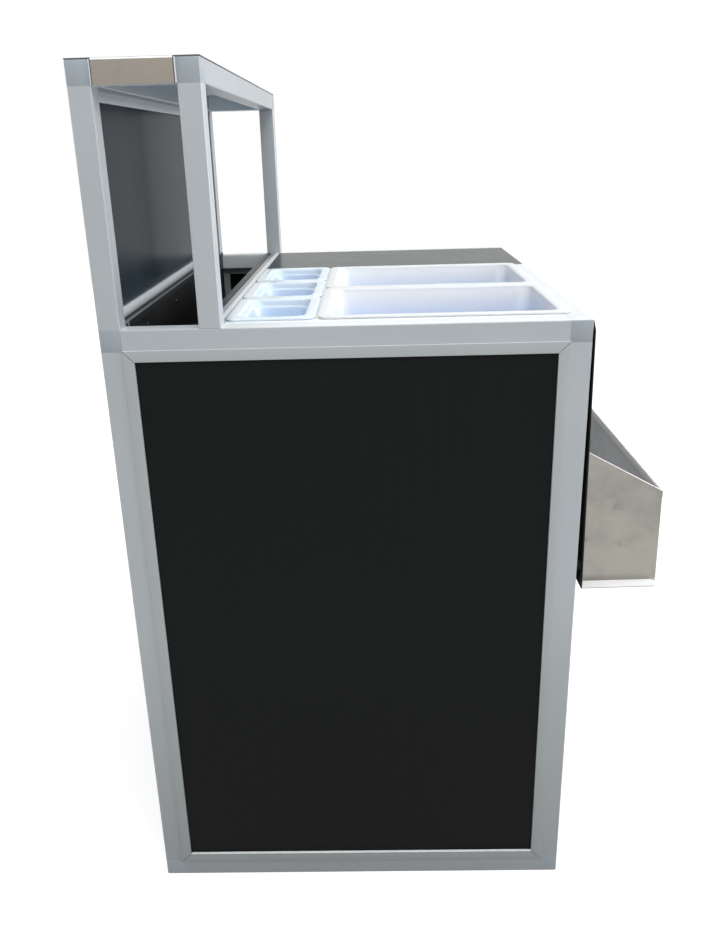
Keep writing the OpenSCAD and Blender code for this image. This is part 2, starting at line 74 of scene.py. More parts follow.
STATION = "station"
SPEED_RAIL = "speed_rail"
SIDES = ((1, "left"), (-1, "right"))
X, Y, Z = Vector((1, 0, 0)), Vector((0, 1, 0)), Vector((0, 0, 1))

# Frame tubes that run along X, Y and Z, and those of the first two round the worktop, whose upper
# faces get a paler tone of painted light
TUBES = (
    ("front_mid_rail", "front_bottom_rail", "rear_top_rail", "rear_bottom_rail", "well_rail",
     "hood_front_rail", "hood_rear_rail"),
    ("end_top_rail_left", "end_top_rail_right", "end_bottom_rail_left", "end_bottom_rail_right",
     "hood_end_rail_left", "hood_end_rail_right", "cross_rail"),
    ("front_post_lower_left", "front_post_lower_right", "front_post_upper_left",
     "front_post_upper_right", "rear_post_left", "rear_post_right", "hood_rear_post_left",
     "hood_rear_post_right"),
)
WORKTOP_RAILS = (("rear_top_rail",), ("end_top_rail_left", "end_top_rail_right"))


# Mesh helpers

def link_object(name, data):
    """New object with this data, at the origin."""
    obj = bpy.data.objects.new(name, data)
    bpy.context.scene.collection.objects.link(obj)
    return obj


def link_mesh(name, verts, faces):
    """New object with a mesh of these points and faces."""
    mesh = bpy.data.meshes.new(name)
    mesh.from_pydata([tuple(v) for v in verts], [], faces)
    return link_object(name, mesh)


def link_bmesh(name, bm):
    """New object with the mesh of a bmesh, which is freed."""
    mesh = bpy.data.meshes.new(name)
    bm.to_mesh(mesh)
    bm.free()
    return link_object(name, mesh)


def tidy_normals(obj):
    """Merges doubles and turns every face outwards."""
    bm = bmesh.new()
    bm.from_mesh(obj.data)
    bmesh.ops.remove_doubles(bm, verts=bm.verts, dist=0.002 * MM)
    bmesh.ops.recalc_face_normals(bm, faces=bm.faces)
    bm.to_mesh(obj.data)
    bm.free()


def apply_modifiers(obj):
    """Turns the evaluated object into its plain mesh."""
    depsgraph = bpy.context.evaluated_depsgraph_get()
    mesh = bpy.data.meshes.new_from_object(obj.evaluated_get(depsgraph))
    obj.modifiers.clear()
    obj.data = mesh
    mesh.name = obj.name


def shade(obj, sharp=40.0):
    """Shades the object smooth, but for the edges above an angle in degrees."""
    obj.data.shade_smooth()
    obj.data.set_sharp_from_angle(angle=math.radians(sharp))


def round_edges(obj, width):
    """Rounds the sharp edges."""
    bevel = obj.modifiers.new("edges", "BEVEL")
    bevel.width = width
    bevel.segments = 2
    bevel.limit_method = "ANGLE"
    bevel.angle_limit = math.radians(32)
    apply_modifiers(obj)


def join(name, objs):
    """One object from several, in order."""
    bm = bmesh.new()
    for obj in objs:
        mesh = obj.data
        bm.from_mesh(mesh)
        bpy.data.objects.remove(obj)
        bpy.data.meshes.remove(mesh)
    return link_bmesh(name, bm)


def box_of(points):
    """Low and high corner round some points."""
    return [Vector([pick(p[i] for p in points) for i in range(3)]) for pick in (min, max)]


def paint(obj, material):
    """Gives the whole object one material."""
    obj.data.materials.clear()
    obj.data.materials.append(material)
    for polygon in obj.data.polygons:
        polygon.material_index = 0


def place(obj, body, slot, material, *nodes):
    """Finishes a piece: its material, its body and the nodes it stands for. The slot is not used.
    """
    paint(obj, material)
    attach(obj, body)
    if nodes:
        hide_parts(*nodes)
    return obj


def finish_node(name, material):
    """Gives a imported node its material."""
    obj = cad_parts[name]
    obj.data.materials.clear()
    obj.data.materials.append(material)


def finish_faces(obj, material, test):
    """Gives another material to the faces of an object, or of a node, that pass the test."""
    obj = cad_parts[obj] if isinstance(obj, str) else obj
    obj.data.materials.append(material)
    for face in obj.data.polygons:
        if test(face):
            face.material_index = len(obj.data.materials) - 1


def looks_up(face):
    return face.normal.z > 0.9


def fillet(points, radii, steps=6):
    """The 2D polyline with its inner corners rounded to the given radii."""
    path = [Vector(points[0])]
    for before, corner, after, radius in zip(points, points[1:], points[2:], radii):
        corner = Vector(corner)
        to_a = (Vector(before) - corner).normalized()
        to_b = (Vector(after) - corner).normalized()
        half = to_a.angle(to_b) / 2
        reach = radius / math.tan(half)
        centre = corner + (to_a + to_b).normalized() * radius / math.sin(half)
        start = corner + to_a * reach - centre
        end = corner + to_b * reach - centre
        for i in range(steps + 1):
            path.append(centre + start.slerp(end, i / steps).normalized() * radius)
    path.append(Vector(points[-1]))
    return path


def offset(path, distance):
    """The open 2D polyline moved sideways, to the left of its direction."""
    moved = []
    for i, point in enumerate(path):
        ahead = path[min(i + 1, len(path) - 1)] - point
        behind = point - path[max(i - 1, 0)]
        normals = [Vector((-d.y, d.x)).normalized() for d in (behind, ahead) if d.length > 1e-9]
        mean = sum(normals, Vector((0, 0))) / len(normals)
        moved.append(point + mean * distance / max(mean.length_squared, 0.2))
    return moved


def folded_sheet(name, stations, thickness, to_world):
    """Sheet metal swept through stations, each a (distance, 2D path) pair of equal length."""
    verts, faces = [], []
    count = len(stations[0][1])
    for along, path in stations:
        for side in (path, offset(path, thickness)):
            verts += [to_world(along, p) for p in side]
    ring = 2 * count
    for s in range(len(stations) - 1):
        a, b = s * ring, (s + 1) * ring
        for i in range(count - 1):
            faces.append((a + i, a + i + 1, b + i + 1, b + i))
            faces.append((a + count + i, b + count + i, b + count + i + 1, a + count + i + 1))
        for i in (0, count - 1):
            faces.append((a + i, b + i, b + count + i, a + count + i))
    for a in (0, (len(stations) - 1) * ring):
        for i in range(count - 1):
            faces.append((a + i, a + i + 1, a + count + i + 1, a + count + i))
    obj = link_mesh(name, verts, faces)
    tidy_normals(obj)
    return obj


def swept_loops(name, loops):
    """Closed skin over equal closed loops, with both ends capped."""
    count = len(loops[0])
    verts = [v for loop in loops for v in loop]
    faces = []
    for low in range(len(loops) - 1):
        high = low + 1
        for i in range(count):
            j = (i + 1) % count
            faces.append((low * count + i, low * count + j, high * count + j, high * count + i))
    faces.append(tuple(range(count)))
    faces.append(tuple(reversed(range((len(loops) - 1) * count, len(loops) * count))))
    obj = link_mesh(name, verts, faces)
    tidy_normals(obj)
    return obj


# Shader helpers

def start_material(name):
    """New material with its shader."""
    material = bpy.data.materials.new(name)
    material.use_nodes = True
    return material, material.node_tree, material.node_tree.nodes["Principled BSDF"]


def set_inputs(tree, node, inputs):
    """Gives the node's inputs their values or links."""
    for key, value in inputs.items():
        if isinstance(value, bpy.types.NodeSocket):
            tree.links.new(value, node.inputs[key])
        else:
            node.inputs[key].default_value = value


def add_node(tree, kind, inputs=None, **settings):
    """New node with its settings, and its inputs as values or links."""
    made = tree.nodes.new(kind)
    for key, value in settings.items():
        setattr(made, key, value)
    set_inputs(tree, made, inputs or {})
    return made


def calculate(tree, operation, first, second):
    """Result of arithmetic on two values or sockets."""
    return add_node(tree, "ShaderNodeMath", {0: first, 1: second}, operation=operation).outputs[0]


def object_noise(tree, scale, detail=3.0, rough=0.5, location=(0.0, 0.0, 0.0)):
    """Noise on Object coordinates, in repeats per metre: one number, or one per axis."""
    coords = add_node(tree, "ShaderNodeTexCoord")
    mapped = add_node(tree, "ShaderNodeMapping", {
        "Vector": coords.outputs["Object"], "Location": location,
        "Scale": scale if isinstance(scale, tuple) else (scale,) * 3})
    return add_node(tree, "ShaderNodeTexNoise", {
        "Vector": mapped.outputs["Vector"], "Scale": 1.0, "Detail": detail,
        "Roughness": rough}).outputs["Fac"]


def spread(tree, value, low=0.0, high=1.0, from_low=0.3, from_high=0.7):
    """The value mapped to a range."""
    return add_node(tree, "ShaderNodeMapRange", {
        "Value": value, "From Min": from_low, "From Max": from_high, "To Min": low,
        "To Max": high}).outputs["Result"]


def blend(tree, factor, first, second):
    """Mix of two colours, each a socket or an RGB value."""
    first, second = (c if isinstance(c, bpy.types.NodeSocket) else (*c, 1.0)
                     for c in (first, second))
    return add_node(tree, "ShaderNodeMix", {0: factor, 6: first, 7: second},
                    data_type="RGBA").outputs[2]


def bump(tree, height, distance):
    """Normals of a bump of the given depth, in metres."""
    return add_node(tree, "ShaderNodeBump", {
        "Height": height, "Distance": distance, "Strength": 1.0}).outputs["Normal"]


def grain_scale(along, fine, long):
    """Noise scale for a grain along an axis: long repeats along it, fine ones across it."""
    return tuple(long if i == along else fine for i in range(3))


def scaled(colour, factor):
    """The colour times a number."""
    return tuple(c * factor for c in colour)


def height_blend(tree, low, high):
    """Share that rises from 0 to 1 between two heights of the object."""
    coords = add_node(tree, "ShaderNodeTexCoord")
    split = add_node(tree, "ShaderNodeSeparateXYZ", {"Vector": coords.outputs["Object"]})
    return spread(tree, split.outputs["Z"], 0.0, 1.0, low, high)


# Height above the floor up to which finishes get a painted shade, height of the hood panel's
# foot, which gets a paler even tone of painted light, and depths below a pan's top between which
# its wall's and its rim's tones of painted light and shade end
SHADE_HEIGHT = 450 * MM
FOOT_HEIGHT = 70 * MM
WALL_FADE = (48 * MM, 9 * MM)
RIM_FADE = (5 * MM, 2 * MM)


def anodised(name, colour, along, metallic=0.1, foot=0.64):
    """Satin anodised extrusion, its faint grain along one axis, with painted light and shade down
    by the floor, where its colour goes to foot times itself.
    """
    material, tree, shader = start_material(name)
    grain = object_noise(tree, grain_scale(along, 1400.0, 9.0), 4.0, 0.6)
    cloud = object_noise(tree, 5.0, 2.0)
    mottled = blend(tree, spread(tree, cloud), scaled(colour, 0.96), scaled(colour, 1.04))
    grained = blend(tree, spread(tree, grain, 0.0, 0.08), mottled, scaled(colour, 0.7))
    # Painted light and shade by the floor: the colour goes to foot times itself there
    rise = height_blend(tree, 0.0, SHADE_HEIGHT)
    set_inputs(tree, shader, {
        "Base Color": blend(tree, rise, scaled(colour, foot), grained),
        "Roughness": spread(tree, grain, 0.34, 0.44),
        "Normal": bump(tree, grain, 0.006 * MM), "Metallic": metallic})
    return material


def brushed(name, colour, along, rough, smudge, tint=0.6, grain_depth=0.006, metallic=1.0):
    """Brushed stainless sheet with a grain along one axis and soft smudges."""
    material, tree, shader = start_material(name)
    grain = object_noise(tree, grain_scale(along, 1800.0, 14.0), 3.0, 0.65)
    patches = object_noise(tree, (9.0, 9.0, 13.0), 4.0, 0.62, (2.3, 1.1, 0.4))
    spots = object_noise(tree, 34.0, 3.0, 0.55, (5.2, 0.7, 3.1))
    smudged = blend(tree, spread(tree, patches, 0.0, smudge, 0.45, 0.72), colour,
                    scaled(colour, 0.66))
    spotted = blend(tree, spread(tree, spots, 0.0, smudge * 0.6, 0.6, 0.74), smudged,
                    scaled(colour, 0.55))
    dulled = calculate(tree, "ADD", spread(tree, grain, rough - 0.03, rough + 0.04),
                       spread(tree, patches, 0.0, rough * 0.3, 0.45, 0.75))
    set_inputs(tree, shader, {
        "Base Color": blend(tree, spread(tree, grain, 0.0, 0.16), spotted, scaled(colour, 0.75)),
        "Roughness": dulled, "Normal": bump(tree, grain, grain_depth * MM),
        "Metallic": metallic, "Specular Tint": (tint, tint, tint, 1.0)})
    return material


def highlight_metal(name, colour, metallic):
    """Metal of a bend or a rolled edge, whose pale colour is a painted highlight."""
    material, tree, shader = start_material(name)
    rub = object_noise(tree, 60.0, 2.0)
    set_inputs(tree, shader, {
        "Base Color": blend(tree, spread(tree, rub), scaled(colour, 0.98), colour),
        "Roughness": spread(tree, rub, 0.30, 0.33), "Metallic": metallic})
    return material


def moulded(name, colour, rough, grain=1500.0, depth=0.02, gloss=0.5):
    """Moulded or coated surface with a fine even texture."""
    material, tree, shader = start_material(name)
    fine = object_noise(tree, grain, 2.0)
    cloud = object_noise(tree, 14.0)
    set_inputs(tree, shader, {
        "Base Color": blend(tree, spread(tree, cloud), scaled(colour, 0.94),
                            scaled(colour, 1.06)),
        "Roughness": spread(tree, cloud, rough - 0.04, rough + 0.05),
        "Normal": bump(tree, fine, depth * MM), "Specular IOR Level": gloss})
    return material


def black_panel(name, colour, rough, haze, gloss):
    """Black laminate sheet: faint dust haze, fine texture, a broad soft gloss, and a painted shade
    that darkens it down by the floor.
    """
    material, tree, shader = start_material(name)
    fine = object_noise(tree, 700.0, 2.0)
    dust = object_noise(tree, (3.0, 3.0, 2.2), 4.0, 0.6, (1.7, 0.2, 0.9))
    streak = object_noise(tree, (60.0, 60.0, 3.0), 3.0, 0.5, (0.3, 4.0, 2.0))
    dusty = blend(tree, spread(tree, dust, 0.0, haze), colour, (0.05, 0.05, 0.048))
    streaked = blend(tree, spread(tree, streak, 0.0, haze * 0.5, 0.5, 0.75), dusty,
                     (0.04, 0.04, 0.042))
    # Painted shade: the colour darkens to a fifth of itself down by the floor
    rise = height_blend(tree, 0.0, SHADE_HEIGHT)
    set_inputs(tree, shader, {
        "Base Color": blend(tree, rise, scaled(colour, 0.2), streaked),
        "Roughness": spread(tree, dust, rough - 0.03, rough + 0.07),
        "Normal": bump(tree, fine, 0.012 * MM), "Specular IOR Level": gloss})
    return material


def smoked_panel(name, colour):
    """Dark hood panel with soft upright bands of painted reflection, which fade out at its foot,
    where it gets a paler even tone of painted light.
    """
    material, tree, shader = start_material(name)
    bands = object_noise(tree, (9.0, 9.0, 0.6), 2.0, 0.5, (0.7, 0.0, 0.3))
    fine = object_noise(tree, 500.0, 2.0)
    # Painted reflection: soft upright bands in the colour
    painted_reflection_bands = blend(tree, spread(tree, bands, 0.0, 1.0, 0.35, 0.65), scaled(colour, 0.6),
                   scaled(colour, 1.5))
    # Painted light: a paler even tone, twice the colour, at the panel's foot
    rise = height_blend(tree, RAIL_TOP, RAIL_TOP + FOOT_HEIGHT)
    set_inputs(tree, shader, {
        "Base Color": blend(tree, rise, scaled(colour, 2.0), painted_reflection_bands),
        "Roughness": spread(tree, bands, 0.16, 0.26),
        "Normal": bump(tree, fine, 0.006 * MM), "Specular IOR Level": 0.02})
    return material


def frosted(name, rim, wall, deep, top, rough):
    """Milky pan plastic with painted light and shade: pale at its rim, palest on the upper walls
    as if lit through, and bluer down inside as shade.
    """
    material, tree, shader = start_material(name)
    fine = object_noise(tree, 900.0, 2.0)
    cloud = object_noise(tree, 11.0)
    in_wall, in_rim = (height_blend(tree, top - low, top - high)
                       for low, high in (WALL_FADE, RIM_FADE))
    # Painted light and shade: rim, wall and inside tones by depth below the top
    colour = blend(tree, in_rim, blend(tree, in_wall, deep, wall), rim)
    set_inputs(tree, shader, {
        "Base Color": blend(tree, spread(tree, cloud, 0.0, 0.06), colour, deep),
        "Roughness": spread(tree, cloud, rough, rough + 0.08),
        "Normal": bump(tree, fine, 0.01 * MM), "IOR": 1.49, "Subsurface Weight": 0.35,
        "Subsurface Radius": (0.6, 0.8, 1.0), "Subsurface Scale": 0.012})
    return material


# User settings

def swatch(name, default, description):
    """Colour property."""
    return bpy.props.FloatVectorProperty(
        name=name, description=description, subtype="COLOR", size=3, min=0.0, max=1.0,
        default=default)


def length(name, default, description):
    """Length property, in metres."""
    return bpy.props.FloatProperty(
        name=name, description=description, subtype="DISTANCE", unit="LENGTH", min=0.0,
        default=default, precision=5)


def power(name, default, description):
    """Power of a lamp, in watts."""
    return bpy.props.FloatProperty(
        name=name, description=description, subtype="POWER", min=0.0, default=default)


class StationColours(bpy.types.PropertyGroup):
    """Colours of the finishes."""

    tube: swatch("Tube", (0.466, 0.498, 0.518), "Satin anodised frame tube")
    # Paler tone of upper faces round the worktop, painted light from above
    rail_top: swatch("Rail tops", (0.66, 0.69, 0.71), "Upper faces round the worktop")
    trim: swatch("Trim", (0.430, 0.462, 0.468), "Trim bars round the panels")
    # Paler tone of the lower hood track, painted light
    bright: swatch("Bright trim", (0.58, 0.62, 0.65), "Lower hood track")
    # Pale tone, painted light from above, of the pan bars and the trims' upper edges
    bar: swatch("Pan bars", (0.80, 0.83, 0.85), "Bars between the pans")
    # Pale tone of the well strip, painted light from above
    strip: swatch("Well strip", (0.80, 0.84, 0.87), "Strip behind the bottle well")
    # Dark tone of the well cap, painted shade under the hood
    cap: swatch("Well cap", (0.20, 0.21, 0.22), "Cap on the well's front edge")
    connector: swatch("Connector", (0.362, 0.405, 0.440), "Moulded corner blocks")
    panel: swatch("Panel", (0.0048, 0.0056, 0.0058), "Black end and front panels")
    hood_panel: swatch("Hood panel", (0.0120, 0.0185, 0.0235), "Smoked black hood panel")
    coat: swatch("Black coat", (0.011, 0.0115, 0.0125), "Powder-coated black sheet")
    apron: swatch("Apron", (0.019, 0.0195, 0.0185), "Coat of the hung apron")
    rubber: swatch("Rubber", (0.008, 0.008, 0.008), "Gasket and buffers")
    worktop: swatch("Worktop plate", (0.361, 0.397, 0.392), "Stainless worktop plate")
    flange: swatch("Hood sheet", (0.298, 0.272, 0.235), "Stainless hood sheet")
    # Dark tone of the hood sheet's edges and flange side gaps, painted shade
    cut: swatch("Cut edge", (0.10, 0.095, 0.12), "Sheared edge of the hood sheet")
    # Pale tone of bends, hems and the end plates' upward faces, painted highlight
    bend: swatch("Bends", (0.90, 0.91, 0.91), "Burnished bends and edges of the sheets")
    # Paler bluish tone of the hood sheet's underside, painted light
    underside: swatch("Hood underside", (0.57, 0.68, 0.73), "Underside of the hood sheet")
    trough: swatch("Trough", (0.42, 0.415, 0.40), "Stainless trough sheet")
    # Pale tone of the trough's shaded inner front, painted light
    trough_in: swatch("Trough inside", (0.74, 0.78, 0.83), "Inner side of its front")
    end_plate: swatch("End plate", (0.300, 0.287, 0.258), "Stainless end plates")
    steel: swatch("Fastener", (0.45, 0.45, 0.45), "Studs and rivets")
    # Pan tones of painted light and shade: rim, upper walls lit through, and bluer shade down
    # inside
    ice_rim: swatch("Ice bin rim", (0.70, 0.735, 0.755), "Frosted plastic at a rim")
    ice_wall: swatch("Ice bin wall", (0.96, 0.98, 0.99), "Frosted plastic below a rim")
    ice_deep: swatch("Ice bin inside", (0.55, 0.66, 0.87), "Frosted plastic down inside")
    garnish_rim: swatch("Garnish pan rim", (0.72, 0.83, 0.93), "Small pan at its rim")
    garnish_wall: swatch("Garnish pan wall", (0.68, 0.80, 0.93), "Small pan below its rim")
    garnish_deep: swatch("Garnish pan inside", (0.50, 0.65, 0.93), "Small pan inside")


class StationSizes(bpy.types.PropertyGroup):
    """Small sizes that the finish adds."""

    seam: length("Seam", 0.25 * MM, "Edge rounding at the corner blocks' seams")
    block_edge: length("Block edge", 1.5 * MM, "Rounding of the blocks' outer edges")
    trim_edge: length("Trim edge", 0.6 * MM, "Rounding of the trims' face edges")
    trim_lip: length("Trim lip", 1.5 * MM, "Width of the trims' lip on the tubes")
    bend: length("Bend", 1.8 * MM, "Outer radius of the sheet bends")
    hood_bend: length("Hood bend", 3.0 * MM, "Outer radius of the hood sheet's bends")
    hem: length("Hem", 9.0 * MM, "Width of the folded hems")
    lean: bpy.props.FloatProperty(
        name="Lean", description="Outward lean of the hung apron", subtype="ANGLE",
        default=math.radians(0.9))


class StationStage(bpy.types.PropertyGroup):
    """Lamps and background."""

    sky: bpy.props.FloatProperty(name="Sky", description="Strength of the even light",
                                 min=0.0, default=0.22)
    top: power("Top lamp", 11.0, "Power of the lamp overhead")
    side: power("Side lamp", 88.0, "Power of the lamp at the working side")
    end: power("End lamp", 32.0, "Power of the lamp at the left end")
    far: power("Far lamp", 16.0, "Power of the lamp at the right end")
    front: power("Front lamp", 45.0, "Power of the lamp at the customer side")


def tone(name, factor=1.0):
    """Colour of that name from the settings, times a factor."""
    return scaled(getattr(bpy.context.scene.bar_colours, name), factor)


def sizes():
    return bpy.context.scene.bar_sizes


# Frame tubes and corner blocks

class BARSTATION_OT_frame_tubes(bpy.types.Operator):
    """Finish the frame tubes, with their grain along each tube"""

    bl_idname = "barstation.frame_tubes"
    bl_label = "Frame tubes"

    def execute(self, context):
        # Tubes along X get 0.85 of the tube colour, a painted shade
        for axis, (names, shade_by) in enumerate(zip(TUBES, (0.85, 1.0, 1.0))):
            metal = anodised("tube_aluminium_" + "xyz"[axis], tone("tube", shade_by), axis)
            for name in names:
                finish_node(name, metal)
        # Painted light: the rails' upper faces round the worktop get the paler rail top colour
        for axis, names in enumerate(WORKTOP_RAILS):
            pale = anodised("rail_top_" + "xyz"[axis], tone("rail_top"), axis)
            for name in names:
                finish_faces(name, pale, looks_up)
        # Painted light: the hood end rails and the inner faces of the end top rails, shaded under
        # the hood, get 1.9 times the tube colour
        inner = anodised("inner_rail_aluminium", tone("tube", 1.9), 1)
        for side, end in SIDES:
            finish_node("hood_end_rail_" + end, inner)
            finish_faces("end_top_rail_" + end, inner,
                         lambda face, s=side: face.normal.x * s < -0.9)
        # Painted shade: the front mid rail's upper faces, under the hood, get the black coat
        # colour
        dark = moulded("rail_under_track", tone("coat"), 0.5, gloss=0.1)
        finish_faces("front_mid_rail", dark, looks_up)
        return {"FINISHED"}


def corner_block(outward, plugs, capped=True):
    """Moulded block with its outer corner at the origin, pointing along outward, with plugs
    along the given axes. It is made in the +x +y +z octant and then turned by its signs."""
    bm = bmesh.new()
    middle = Vector((TUBE / 2,) * 3)
    bmesh.ops.create_cube(bm, size=TUBE, matrix=Matrix.Translation(middle))
    rounded = []
    for edge in bm.edges:
        low = [max(abs(vert.co[i]) for vert in edge.verts) < 1e-6 for i in range(3)]
        if sum(low) == 2 and (capped or not low[2]):
            rounded.append(edge)
    bmesh.ops.bevel(bm, geom=rounded, offset=sizes().block_edge, segments=5, profile=0.5,
                    affect="EDGES")
    for axis in plugs:
        centre = middle + axis * (TUBE + PLUG_LENGTH) / 2
        size = [PLUG_LENGTH if abs(a) > 0.5 else 2 * PLUG_HALF for a in axis]
        bmesh.ops.create_cube(bm, size=1.0, matrix=Matrix.LocRotScale(centre, None, Vector(size)))
    for vert in bm.verts:
        vert.co = Vector([-c * s for c, s in zip(vert.co, outward)])
    obj = link_bmesh("corner_block", bm)
    tidy_normals(obj)
    return obj


class BARSTATION_OT_corner_blocks(bpy.types.Operator):
    """Make the moulded corner blocks with their plugs and fine seams"""

    bl_idname = "barstation.corner_blocks"
    bl_label = "Corner blocks"

    def execute(self, context):
        plastic = moulded("connector_plastic", tone("connector"), 0.45)
        # Painted shade: the blocks by the floor get 0.9 of the connector colour
        foot_shade_plastic = moulded("connector_foot", tone("connector", 0.9), 0.45)
        three, four = (X, Y, Z), (X, Y, Z, -Z)
        # Node, places of the outer corners as (y, outward y, z, outward z), plugs, capped
        groups = (
            ("hood_corner_connectors", ((FRONT_Y, -1, HOOD_TOP, 1), (HOOD_Y, 1, HOOD_TOP, 1)),
             three, True),
            ("front_joint_connectors", ((FRONT_Y, -1, RAIL_TOP, 1),), four, False),
            ("rear_corner_connectors", ((REAR_Y, 1, RAIL_TOP, 1),), three, True),
            ("base_corner_connectors", ((FRONT_Y, -1, 0, -1), (REAR_Y, 1, 0, -1)), three, True),
        )
        for node, places, plugs, capped in groups:
            blocks = []
            for side, _ in SIDES:
                for y, out_y, z, out_z in places:
                    block = corner_block((side, out_y, out_z), plugs, capped)
                    block.data.transform(Matrix.Translation((side * END_X, y, z)))
                    round_edges(block, sizes().seam)
                    shade(block)
                    blocks.append(block)
            made = join(node.replace("connectors", "blocks"), blocks)
            place(made, STATION, "connector_plastic", foot_shade_plastic if places[0][3] < 0 else plastic, node)
            if node == "rear_corner_connectors":
                # Painted light: the blocks' top faces get the paler rail top colour
                pale = moulded("connector_top", tone("rail_top"), 0.45)
                finish_faces(made, pale, lambda face: face.normal.z > 0.9
                             and face.center.z > RAIL_TOP - 0.1 * MM)
        finish_node("tube_end_plugs", plastic)
        return {"FINISHED"}


# Panels and trims

# Gap between a trim's end and the true mitre
MITRE_GAP = 0.35 * MM


def trim_profile(lip):
    """Section of a trim bar, across from the tube and behind its face, with a lip of the given
    width that lies on the tube's rounded edge."""
    width, depth, back, groove, slot = 13 * MM, 12 * MM, 3.9 * MM, 8 * MM, 3.3 * MM
    edge, proud, fine, blunt, tiny = (sizes().trim_edge, 1.45 * MM, 0.2 * MM, 0.3 * MM, 0.1 * MM)
    inner = width - groove
    points = [(width / 2, 0), (width, 0), (width, back), (inner, back), (inner, back + slot),
              (width, back + slot), (width, depth), (0, depth)]
    radii = [edge, blunt, tiny, tiny, blunt, edge, edge]
    if lip > 0:
        points += [(0, proud), (-lip, proud), (-lip, 0)]
        radii += [fine] * 3
    else:
        points.append((0, 0))
        radii.append(edge)
    return fillet(points + [(width / 2, 0)], radii, 4)[:-1]


def trim_bar(start, end, inward, back, mitred=True):
    """Bar along the tube's edge from start to end, with its face forward. It is mitred and has
    a lip, or it is square and has none."""
    along = (end - start).normalized()
    loops = []
    for point, way in ((start, along), (end, -along)):
        for_corner = way if mitred else Vector()
        loops.append([point + inward * p.x + back * p.y + for_corner * (p.x + MITRE_GAP)
                      for p in trim_profile(sizes().trim_lip if mitred else 0)])
    return swept_loops("trim_bar", loops)


def trim_frame(name, node, metals, right, back):
    """Four mitred bars round an opening, in place of a node, with a painted highlight on their
    upper edges and dark mitre joints. They run along right and Z, and face away from back."""
    low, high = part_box(node)
    corner = Vector([b if way < 0 else a for a, b, way in zip(low, high, back)])
    wide, tall = right * (high - low).dot(right), Z * (high.z - low.z)
    far_right, far_up, far = corner + wide, corner + tall, corner + wide + tall
    bars = [trim_bar(corner, far_right, Z, back), trim_bar(far_up, far, -Z, back),
            trim_bar(corner, far_up, right, back), trim_bar(far_right, far, -right, back)]
    made = join(name, bars)
    shade(made, 35)
    body, edge, joint = metals
    place(made, STATION, "trim_aluminium", body, node)
    # Painted highlight: faces that look upwards get the pale bar colour
    finish_faces(made, edge, lambda face: face.normal.z > 0.35)
    finish_faces(made, joint, lambda face: (
        abs(face.normal.dot(back)) < 0.1
        and min(abs(face.normal.dot(right)), abs(face.normal.z)) > 0.5))


class BARSTATION_OT_panels(bpy.types.Operator):
    """Finish the black panels and make their mitred trims"""

    bl_idname = "barstation.panels"
    bl_label = "Panels and trims"

    def execute(self, context):
        black = black_panel("panel_black", tone("panel"), 0.42, 0.04, 0.09)
        for node in ("end_panel_left", "end_panel_right", "front_panel"):
            finish_node(node, black)
        finish_node("hood_panel", smoked_panel("hood_panel_gloss", tone("hood_panel")))
        finish_node("hood_panel_gasket", moulded("black_rubber", tone("rubber"), 0.7, gloss=0.2))
        along_x, along_z = (anodised("trim_aluminium_" + "xyz"[axis], tone("trim"), axis)
                            for axis in (0, 2))
        metals = (along_z, anodised("trim_edge_aluminium", tone("bar"), 1, foot=1.1),
                  moulded("mitre_shadow", tone("coat"), 0.6, gloss=0.1))
        for side, end in SIDES:
            trim_frame("end_trim_bars_" + end, "end_panel_trim_" + end, metals, Y, -side * X)
        trim_frame("front_trim_bars", "front_panel_trim", metals, X, Y)
        foot, head = sorted(solid_boxes("hood_panel_track"), key=lambda box: box[0].z)
        tracks = join("hood_panel_track_bars", [
            trim_bar(Vector((low.x, low.y, z)), Vector((high.x, low.y, z)), inward, Y, False)
            for (low, high), z, inward in ((foot, foot[0].z, Z), (head, head[1].z, -Z))])
        shade(tracks, 35)
        # Painted light: the lower track gets a paler tone than the upper one, which has the trim
        # colour
        bright = anodised("bright_aluminium", tone("bright"), 0)
        place(tracks, STATION, "trim_aluminium", bright, "hood_panel_track")
        finish_faces(tracks, along_x, lambda face: face.center.z > head[0].z)
        # Painted light: the well strip gets a pale tone
        finish_node("well_edge_strip", anodised("strip_aluminium", tone("strip"), 0))
        # Painted shade: the well cap gets a dark tone; its faces that look to +Y get the black
        # coat colour
        finish_node("well_front_cap", anodised("cap_aluminium", tone("cap"), 0))
        lip = moulded("cap_lip_black", tone("coat"), 0.5, gloss=0.1)
        finish_faces("well_front_cap", lip, lambda face: face.normal.y > 0.7)
        # The pan bars get the pale bar colour, painted light from above
        for axis, nodes in enumerate((("pan_divider_long",),
                                      ("pan_end_bars", "pan_dividers_short", "divider_brackets"))):
            pale = anodised("pan_bar_" + "xy"[axis], tone("bar"), axis)
            for node in nodes:
                finish_node(node, pale)
        return {"FINISHED"}


# Hood

